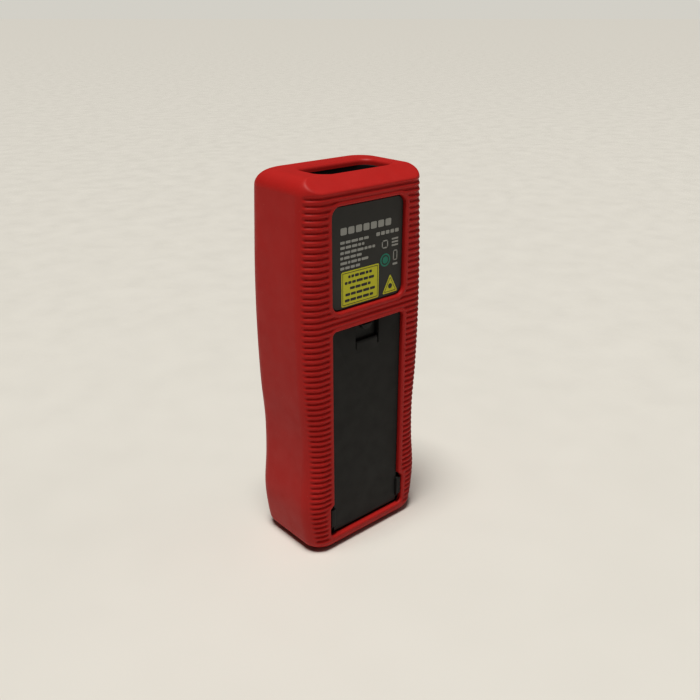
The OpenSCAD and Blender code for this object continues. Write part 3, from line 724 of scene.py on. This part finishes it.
def flared(corners, radii, inside, outside, edge, axis="y", steps=10, draft=0.0):
    """Cutting solid whose mouth rounds off the edge of the hole that it makes."""
    sign = math.copysign(1, outside - inside)
    profile = [(inside, -draft), (outside - sign * edge, 0)]
    turn = math.radians(78)              # short of a quarter, so that the mouth stays open
    for k in range(1, 6):
        angle = turn * k / 5
        profile.append((outside - sign * edge * (1 - math.sin(angle)),
                        edge * (1 - math.cos(angle))))
    profile.append((outside + sign * 2, profile[-1][1] + 0.4))
    return stack(corners, radii, profile, axis, steps)


def case_hollow():
    """The room that the case takes in the boot."""
    low, high = node_box("front_shell")
    fit, corner, case_back, back_bevel, front_bevel = 0.05, 4.05, 11.2, 3.0, 1.5
    x, y0, y1 = high.x + fit, low.y - fit, case_back + fit
    rings = []
    for z, front_in, back_in in ((low.z - fit, 0, 0), (high.z - back_bevel, 0, 0),
                                 (high.z - front_bevel, 0, back_bevel - front_bevel),
                                 (high.z + fit, front_bevel, back_bevel)):
        outline = rounded_outline(rectangle(-x, y0 + front_in, x, y1 - back_in), corner)
        rings.append(place(outline, "z", z))
    return loft(rings)


def make_boot():
    boot = mesh_piece("boot", *boot_surface(), "root")
    from_back, from_front, from_top = 2.6, 1.8, 3.0      # how deep the openings are cut
    cut(boot, [
        case_hollow(),
        flared(DOOR_WINDOW, DOOR_WINDOW_R, BACK - from_back, BACK, WINDOW_EDGE),
        flared(LABEL_WINDOW, LABEL_WINDOW_R, BACK - from_back, BACK, WINDOW_EDGE),
        flared(FRONT_WINDOW, FRONT_WINDOW_R, FRONT + from_front, FRONT, FRONT_WINDOW_EDGE,
               steps=16),
        flared(PORT, PORT_R, BOOT_H - from_top, BOOT_H, PORT_EDGE, "z", steps=16,
               draft=PORT_DRAFT),
    ])
    dress(boot, "red_rubber")
    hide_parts("rubber_boot")


# ---- battery door and its latch ----

door_lo, door_hi = node_box("battery_door")
latch_lo, latch_hi = node_box("door_latch")
plate_lo, plate_hi = node_box("rating_plate")
DOOR_X = 12.7
DOOR_CORNER_R = 1.0                      # of the upper corners
DOOR_FACE = plate_hi.y                   # the door and the label are flush
LUG_FACE = door_hi.y
DOOR_IN = DOOR_FACE - 1.5
DOOR_RIB_X, DOOR_RIB_Z0, DOOR_RIB_Z1 = 10.6, 14, 58      # stiffening ribs inside
DOOR_TOP = door_hi.z
BARREL_R = 1.45
HINGE_Y, HINGE_Z = DOOR_FACE - BARREL_R, door_lo.z + BARREL_R
PIN_R = 0.65
EAR_FACE = DOOR_FACE - 0.6
EAR_X, EAR_TOP = 14.1, 13.4
LUG_IN = DOOR_X - 0.3                    # a raised lug at each end of the ears
LUG_START = 1.8                          # its lower end, above the hinge axis
TONGUE_X = latch_hi.x
SLIT = 0.35
TONGUE_ROOT, SLIT_END = 60.4, 61.6       # the tongue's own mesh starts at the root
ROLL_Z, ROLL_DROP = 63.0, 0.22           # the tongue's face rolls over towards the recess
RECESS_Z = 63.9
RECESS_Y = DOOR_FACE - 1.25
TONGUE_TOP = DOOR_TOP - 0.1
NUB_R = 2.0
NOSE_X, NOSE_Z = 3, 67.9                 # behind the tongue's top


def door_profile(inset):
    """The door's section in (y, z), with its barrel, moved inwards by inset."""
    r = BARREL_R - inset
    face, top = DOOR_FACE - inset, DOOR_TOP - inset
    points = [(face, top - 0.12), (face - 0.04, top - 0.04), (face - 0.12, top),
              (DOOR_IN + inset, top)]
    inner_turn = math.degrees(math.asin(min(1, (DOOR_IN + inset - HINGE_Y) / r)))
    for angle in np.linspace(90 - inner_turn, 360, 28):
        a = math.radians(angle)
        points.append((HINGE_Y + r * math.cos(a), HINGE_Z + r * math.sin(a)))
    return points


def rounded_ends(x0, x1):
    """(x, inset) pairs that round off both ends of a solid along X."""
    return [(x0, 0.15), (x0 + 0.05, 0.05), (x0 + 0.15, 0),
            (x1 - 0.15, 0), (x1 - 0.05, 0.05), (x1, 0.15)]


def door_body():
    return loft([[(x, y, z) for y, z in door_profile(inset)]
                 for x, inset in rounded_ends(-DOOR_X, DOOR_X)])


def door_lug(x0, x1):
    """A raised lug at one end of the ears."""
    corners = [(DOOR_IN, HINGE_Z), (EAR_FACE, HINGE_Z), (LUG_FACE, HINGE_Z + LUG_START),
               (LUG_FACE, EAR_TOP), (DOOR_IN, EAR_TOP)]
    radii = [0.05, 0.3, 0.5, 0.3, 0.05]
    return loft([[(x, y, z) for y, z in rounded_outline(corners, radii, -inset, 5)]
                 for x, inset in rounded_ends(x0, x1)])


def rod_x(y, z, radius, x0, x1, edge=0.1, steps=40):
    """A rod along X with rounded ends."""
    rings = []
    for x, r in ((x0, radius - edge), (x0 + 0.3 * edge, radius - 0.3 * edge), (x0 + edge, radius),
                 (x1 - edge, radius), (x1 - 0.3 * edge, radius - 0.3 * edge), (x1, radius - edge)):
        turn = np.linspace(0, 2 * math.pi, steps, endpoint=False)
        rings.append([(x, y + r * math.cos(t), z + r * math.sin(t)) for t in turn])
    return loft(rings)


def corner_trim(sign):
    """What is cut away at an upper corner of the door, to round it."""
    r = DOOR_CORNER_R
    x, z = sign * (DOOR_X - r), DOOR_TOP - r
    x0, x1 = sorted((x, x + 2 * sign * r))
    trim = mesh_piece("trim", *block(x0, x1, 0, 20, z, z + 2 * r), None)
    cut(trim, [lathe([(-1, r), (21, r)], (x, z), "y", 48)])
    shape = (np.array([v.co[:] for v in trim.data.vertices]) / MM,
             [list(p.vertices) for p in trim.data.polygons])
    bpy.data.objects.remove(trim)
    return shape


def make_door():
    door = mesh_piece("door", *door_body(), "door")
    ear_profile = [(DOOR_IN, 0)] + round_edge(DOOR_IN, EAR_FACE, 0.2)
    ear = stack(rectangle(-EAR_X, HINGE_Z, EAR_X, EAR_TOP), 0.3, ear_profile)
    lugs = [door_lug(-EAR_X, -LUG_IN), door_lug(LUG_IN, EAR_X)]
    rib = stack(rectangle(-0.4, DOOR_RIB_Z0, 0.4, DOOR_RIB_Z1), 0.3,
                [(DOOR_IN - 0.45, -0.1), (DOOR_IN + 0.2, 0)])
    ribs = [(rib[0] + np.array([x, 0, 0]), rib[1]) for x in (-DOOR_RIB_X, DOOR_RIB_X)]
    cut(door, [ear, rod_x(HINGE_Y, HINGE_Z, EAR_FACE - HINGE_Y, -EAR_X, EAR_X),
               rod_x(HINGE_Y, HINGE_Z, PIN_R, -door_hi.x, door_hi.x)] + lugs + ribs, "UNION")
    gap = TONGUE_X + SLIT
    cut(door, [corner_trim(-1), corner_trim(1), block(-gap, gap, 5, 20, SLIT_END, 80),
               block(-TONGUE_X, TONGUE_X, 5, 20, TONGUE_ROOT, 80)])
    dress(door, "black_plastic")
    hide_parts("battery_door")


def tongue_face(z):
    """Outer face of the tongue: flat at its root, rolling over into the finger recess."""
    if z <= ROLL_Z:
        return DOOR_FACE
    if z <= RECESS_Z:
        return DOOR_FACE - ROLL_DROP * ((z - ROLL_Z) / (RECESS_Z - ROLL_Z)) ** 2
    return RECESS_Y + (DOOR_FACE - ROLL_DROP - RECESS_Y) * max(0, 1 - (z - RECESS_Z) / 0.15)


def make_tongue():
    """The latch tongue: its mesh is fine at its root, along Z, where the real tongue flexes."""
    heights = list(np.arange(TONGUE_ROOT, ROLL_Z - 0.05, 0.2))
    heights += [ROLL_Z + step for step in (0, 0.2, 0.4, 0.6, 0.75)]
    heights += [RECESS_Z + step for step in (0, 0.05, 0.1, 0.15)]
    heights += [65, 66, 67, 68, TONGUE_TOP - 0.1, TONGUE_TOP]
    rings = []
    for z in heights:
        face, edge = tongue_face(z), 0.1 if z > SLIT_END else 0.02
        end = 0.08 if z == heights[-1] else 0
        outline = rounded_outline(rectangle(-TONGUE_X, DOOR_IN, TONGUE_X, face), edge, -end, 4)
        rings.append(place(outline, "z", z))
    tongue = mesh_piece("latch_tongue", *loft(rings), None)
    turn = np.linspace(math.pi, 2 * math.pi, 25)
    half_moon = [(NUB_R * math.cos(a), latch_hi.z - 0.25 + NUB_R * math.sin(a)) for a in turn]
    nub = stack(half_moon, 0.05, [(RECESS_Y - 0.2, 0)]
                + round_edge(RECESS_Y, DOOR_FACE - 0.02, 0.35), steps=2)
    nose = stack(rectangle(-NOSE_X, NOSE_Z, NOSE_X, TONGUE_TOP), 0.15,
                 [(DOOR_IN - 0.8, -0.1), (DOOR_IN - 0.7, 0), (DOOR_IN + 0.2, 0)])
    hook = stack(rectangle(-NOSE_X, TONGUE_TOP - 0.4, NOSE_X, latch_hi.z), 0.1,
                 [(DOOR_IN - 0.8, -0.05), (DOOR_IN - 0.75, 0), (DOOR_IN - 0.2, 0)])
    cut(tongue, [nub, nose, hook], "UNION")
    dress(tongue, "black_plastic")
    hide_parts("door_latch")
    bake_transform(tongue)


def make_door_pad():
    """Foam pad: its faces crown a little, and its long edges are cut."""
    low, high = node_box("door_pad")
    rings = []
    for level, grow in ((high.y, 0), (high.y - 0.15, 0), (high.y - 0.45, -0.05),
                        (high.y - 0.6, -0.25), (low.y + 0.03, -1.2), (low.y, -3.5)):
        outline = rounded_outline(rectangle(low.x, low.z, high.x, high.z), 4 if grow < -3 else 1.2,
                                  grow)
        rings.append(place(outline, "y", level))
    pad = mesh_piece("door_foam", *loft(rings), "door")
    outward(pad)
    dress(pad, "foam")
    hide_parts("door_pad")


# ---- label ----

PRINT_Y = DOOR_FACE


def printed(name, layers, material):
    """Flat print on the label: layers of closed outlines in (x, z), each with its height."""
    prints = [stack(corners, radii, [(PRINT_Y - 0.02, 0), (PRINT_Y + lift, 0)], "y", 6)
              for shapes, lift in layers for corners, radii in shapes]
    marks = mesh_piece(name, *join_shapes(prints), "root")
    outward(marks)
    marks.data.materials.append(material)


def bars(x_left, x_right, z, height, seed, gap):
    """A row of short blank bars of uneven length, where the label carries a line of print."""
    dice = random.Random(seed)
    row, x = [], x_left
    while x - x_right > 0.7:
        length = min(dice.uniform(0.8, 2.4), x - x_right)
        row.append((rectangle(x - length, z - height / 2, x, z + height / 2), height * 0.3))
        x -= length + gap
    return row


def bar_rows(spans, z, pitch, height, seed, gap):
    """Rows of bars, each over its own (left, right) span, from z downwards."""
    return [bar for row, (left, right) in enumerate(spans)
            for bar in bars(left, right, z - pitch * row, height, seed + row, gap)]


def blocks(x_left, x_right, z, height, count, gap):
    """A row of equal blank blocks, for a heading."""
    length = (x_left - x_right - gap * (count - 1)) / count
    starts = [x_left - k * (length + gap) for k in range(count)]
    return [(rectangle(x - length, z - height / 2, x, z + height / 2), height * 0.2)
            for x in starts]


def frame_shape(corners, radii, width):
    """A rectangle's border of that width, as four bars."""
    (x0, z0), _, (x1, z1), _ = corners
    return [(rectangle(x0, z0, x1, z0 + width), radii), (rectangle(x0, z1 - width, x1, z1), radii),
            (rectangle(x0, z0, x0 + width, z1), radii), (rectangle(x1 - width, z0, x1, z1), radii)]


def triangle(x, z, half, height, inset):
    """A triangle that stands on its base, moved inwards by inset on each side."""
    slope = math.hypot(half, height) / half
    low, top = z + inset, z + height - inset * slope
    base = half * (top - low) / height
    return [(x - base, low), (x + base, low), (x, top)]


def disc(x, z, radius):
    return capsule(x, z, 0, radius)


def make_label():
    """Blank marks where the label carries print. Seen from behind, +X is on the left."""
    base, middle, top = 0.03, 0.045, 0.06    # heights of the layers of ink
    heading = blocks(9.6, -8.3, 95.75, 1.9, 7, 0.5) + blocks(-2.9, -11.2, 93.0, 1.0, 5, 0.4)
    row_ends = (-0.3, 1.3, -2.5, 2.3, -0.8, 2.3)
    text = bar_rows([(9.7, end) for end in row_ends], 92.8, 1.38, 0.72, 11, 0.3)
    square = frame_shape(rectangle(-7.3, 88.6, -5.0, 90.9), 0.05, 0.35)
    dashes = [(rectangle(-11.1, z, -8.7, z + 0.5), 0.1) for z in (88.7, 89.6, 90.5)]
    upright = frame_shape(rectangle(-10.9, 84.6, -9.3, 87.5), 0.05, 0.3)
    underline = [(rectangle(-11.0, 83.3, -9.2, 83.9), 0.1)]
    printed("label_marks", [(heading + text + square + dashes + upright + underline, base)],
            ink("white_ink", (0.36, 0.36, 0.34)))
    spot_x, spot_z, spot_r = -6.35, 85.3, 1.85
    printed("label_disc", [([disc(spot_x, spot_z, spot_r)], base),
                           ([disc(spot_x, spot_z, 0.55 * spot_r)], top)],
            ink("green_ink", (0.01, 0.22, 0.15)))
    patch, sign = rectangle(-4.0, 75.2, 9.4, 84.9), (-8.35, 75.5, 2.9, 5.5)
    printed("label_patch", [([(patch, 0.5), (triangle(*sign, 0), 0.3)], base),
                            ([(triangle(*sign, 0.55), 0.15)], top)],
            ink("yellow_ink", (0.62, 0.60, 0.02)))
    lines = frame_shape(rectangle(-3.6, 75.6, 9.0, 84.5), 0.05, 0.15)
    lines += [disc(spot_x, spot_z, 0.75 * spot_r), (triangle(*sign, 0.4), 0.2)]
    spans = ((7.0, -1.7), (8.2, -2.8), (6.4, -1.0), (8.0, -2.6), (8.2, -2.9))
    lines += bar_rows(spans, 83.3, 1.62, 0.75, 31, 0.26)
    printed("label_lines", [(lines, middle), ([disc(sign[0], 77.5, 0.75)], top + 0.015)],
            ink("dark_ink", (0.02, 0.02, 0.02)))


# ---- front: display and keys ----

CLEAR_VIEW = rectangle(-11, 71.2, 11, 96.5)      # the part of the window without a border
FLANGE_FRONT, FLANGE_BACK = -10.2, -9.6          # of the keys, behind the front shell


def make_display():
    low, high = node_box("display_window")
    border_t = 0.04
    corners = rectangle(low.x, low.z, high.x, high.z)
    glass_piece = plate("display_glass", corners, 2, low.y, high.y - border_t, "root", 0.15, 10)
    outward(glass_piece)
    dress(glass_piece, "clear_window")
    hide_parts("display_window")
    border = mesh_piece("display_border", *stack(corners, 2, [(high.y - border_t, -0.05),
                                                              (high.y, -0.05)]), "root")
    cut(border, [stack(CLEAR_VIEW, 1, [(low.y - 1, 0), (high.y + 1, 0)])])
    border.data.materials.clear()
    border.data.materials.append(ink("border_ink", (0.012, 0.012, 0.013), 0.35))


def make_measure_key():
    low, high = node_box("measure_key")
    x, z = 0, (low.z + high.z) / 2
    radius, flange_r, post_r = 6.8, 7.6, 2.0
    dish_r, dish_depth = 5.6, 0.45
    dish = [(low.y + dish_depth * (1 - (r / dish_r) ** 2), r) for r in np.linspace(0, dish_r, 12)]
    edge = [(low.y + 0.5 * (1 - math.cos(a)), 6.3 + 0.5 * math.sin(a))
            for a in np.linspace(0, math.pi / 2, 7)]
    profile = dish + [(low.y, 5.9)] + edge
    profile += [(FLANGE_FRONT, radius), (FLANGE_FRONT, flange_r), (FLANGE_BACK, flange_r),
                (FLANGE_BACK, post_r), (high.y, post_r), (high.y, 0)]
    key = mesh_piece("measure_key_cap", *lathe(profile, (x, z), "y", 96), "measure_key")
    outward(key)
    dress(key, "red_key")
    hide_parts("measure_key")
    key_mark = lathe([(low.y + 0.42, 1.5), (low.y + 0.37, 1.5), (low.y + 0.36, 1.4),
                      (low.y + 0.36, 0)], (x, z), "y", 48)
    mark = mesh_piece("measure_key_mark", *key_mark, "measure_key")
    outward(mark)
    mark.data.materials.append(ink("key_ink", (0.75, 0.75, 0.72)))


def make_small_key(node, marks):
    low, high = node_box(node)
    x, z = (low.x + high.x) / 2, (low.z + high.z) / 2
    corners, radius = capsule(x, z, 1.5, 3.0)
    profile = [(low.y, -0.6)] + [(low.y + 0.35 * (1 - math.cos(a)), -0.35 * (1 - math.sin(a)))
                                 for a in np.linspace(0, math.pi / 2, 7)]
    profile += [(FLANGE_FRONT, 0), (FLANGE_FRONT, 0.7), (FLANGE_BACK, 0.7),
                (FLANGE_BACK, -1.5), (high.y, -1.5)]
    key = mesh_piece(node + "_cap", *stack(corners, radius, profile, "y", 12), node)
    outward(key)
    dress(key, "grey_key")
    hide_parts(node)
    shapes = [stack([(x + a, z + b) for a, b in outline], r, [(low.y - 0.02, 0), (low.y + 0.03, 0)])
              for outline, r in marks]
    mark = mesh_piece(node + "_mark", *join_shapes(shapes), node)
    outward(mark)
    mark.data.materials.append(bpy.data.materials["key_ink"])


def make_keys():
    make_measure_key()
    box_mark = frame_shape(rectangle(-1.1, -0.9, 1.1, 0.9), 0.03, 0.28)
    make_small_key("mode_key", box_mark)
    off_mark = frame_shape(rectangle(-0.95, -0.95, 0.95, 0.95), 0.03, 0.28)
    off_mark.append((rectangle(-0.14, 0.1, 0.14, 1.5), 0.05))
    make_small_key("off_key", off_mark)


# ---- battery bay ----

def make_cell(node, up):
    """A cell: sleeve with shrunk ends, steel can ends and a raised contact."""
    low, high = node_box(node)
    x, y, radius = (low.x + high.x) / 2, (low.y + high.y) / 2, (high.x - low.x) / 2
    nub_h, rim = 0.8, 0.35

    def level(height):
        return low.z + height if up else high.z - height

    length = high.z - low.z
    sleeve = [(0.25, 3.6), (0.05, 3.9), (0.0, 4.4), (0.1, 4.85), (rim, radius - 0.06),
              (0.8, radius), (length - nub_h - 0.8, radius), (length - nub_h - rim, radius - 0.06),
              (length - nub_h - 0.08, 4.8), (length - nub_h, 4.3), (length - nub_h - 0.1, 3.3),
              (length - nub_h - 0.35, 3.2)]
    cell = mesh_piece(node + "_sleeve", *lathe([(level(h), r) for h, r in sleeve], (x, y)), "root")
    outward(cell)
    dress(cell, "cell_sleeve")
    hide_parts(node)
    top = [(length - nub_h - 0.5, 3.25), (length - nub_h - 0.2, 3.25), (length - nub_h - 0.1, 2.1),
           (length - nub_h, 1.95), (length - 0.2, 1.85), (length - 0.05, 1.7), (length, 1.5)]
    foot = [(0.4, 3.65), (0.18, 3.65), (0.12, 3.2), (0.03, 2.9), (0.0, 2.6)]
    for name, profile in (("_cap", top), ("_foot", foot)):
        end = mesh_piece(node + name, *lathe([(level(h), r) for h, r in profile], (x, y)), "root")
        outward(end)
        dress(end, "steel")


def sweep(path, radius, sides=10):
    """A round wire along a path of points, closed at both ends."""
    path = np.asarray(path, float)
    along = np.gradient(path, axis=0)
    along /= np.linalg.norm(along, axis=1)[:, None]
    up = np.array([0, 0, 1.0])
    across = np.cross(along, up)
    across /= np.linalg.norm(across, axis=1)[:, None]
    over = np.cross(across, along)
    turn = np.linspace(0, 2 * math.pi, sides, endpoint=False)
    return loft([centre + radius * (np.cos(turn)[:, None] * a + np.sin(turn)[:, None] * b)
                 for centre, a, b in zip(path, across, over)])


def make_springs():
    """Conical springs that press on the flat ends of the cells."""
    wire, foot, tip, turns = 0.35, 4.2, 2.4, 4
    springs = []
    for node, base, up in (("battery_2", node_box("contact_plates")[1].z, 1),
                           ("battery_1", node_box("bridge_plate")[0].z, -1)):
        low, high = node_box(node)
        x, y = (low.x + high.x) / 2, (low.y + high.y) / 2
        end = low.z if up > 0 else high.z
        share = np.linspace(0, 1, 40 * turns + 1)
        rise = np.clip((share * turns - 0.6) / (turns - 1.2), 0, 1)
        r = foot + (tip - foot) * share
        angle = 2 * math.pi * turns * share
        z = base + up * wire + (end - base - 2 * up * wire) * rise
        springs.append(sweep(np.stack([x + r * np.cos(angle), y + r * np.sin(angle), z], 1),
                             wire))
    piece = mesh_piece("cell_springs", *join_shapes(springs), "root")
    outward(piece)
    dress(piece, "steel")
    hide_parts("battery_springs")


# ---- floor ----

def make_floor():
    size = 40.0
    mesh = bpy.data.meshes.new("floor")
    corners = [(-size, -size, 0), (size, -size, 0), (size, size, 0), (-size, size, 0)]
    mesh.from_pydata(corners, [], [(0, 1, 2, 3)])
    floor = bpy.data.objects.new("floor", mesh)
    bpy.context.scene.collection.objects.link(floor)
    surface = Surface("floor", (0.66, 0.645, 0.605), 0.6)
    surface.tint(surface.range(surface.noise(30, 4), 0.4, 0.7, 0, 0.5), (0.64, 0.625, 0.585))
    surface.roughness = surface.range(surface.noise(60, 3), 0.3, 0.7, 0.5, 0.7)
    mesh.materials.append(surface.done())


def dress_cad_nodes():
    """Every CAD node gets the material of its slot in the record."""
    for part in frame["record"]["subparts"]:
        cad = frame["nodes"][part["node"]]
        cad.data.materials.clear()
        cad.data.materials.append(materials[part["material_slot"]])


make_camera()
make_lights()
make_floor()
materials = make_materials()
dress_cad_nodes()
make_boot()
make_door()
make_tongue()
make_door_pad()
make_label()
make_display()
make_keys()
for cell_node, nub_up in (("battery_1", False), ("battery_2", True)):
    make_cell(cell_node, nub_up)
make_springs()
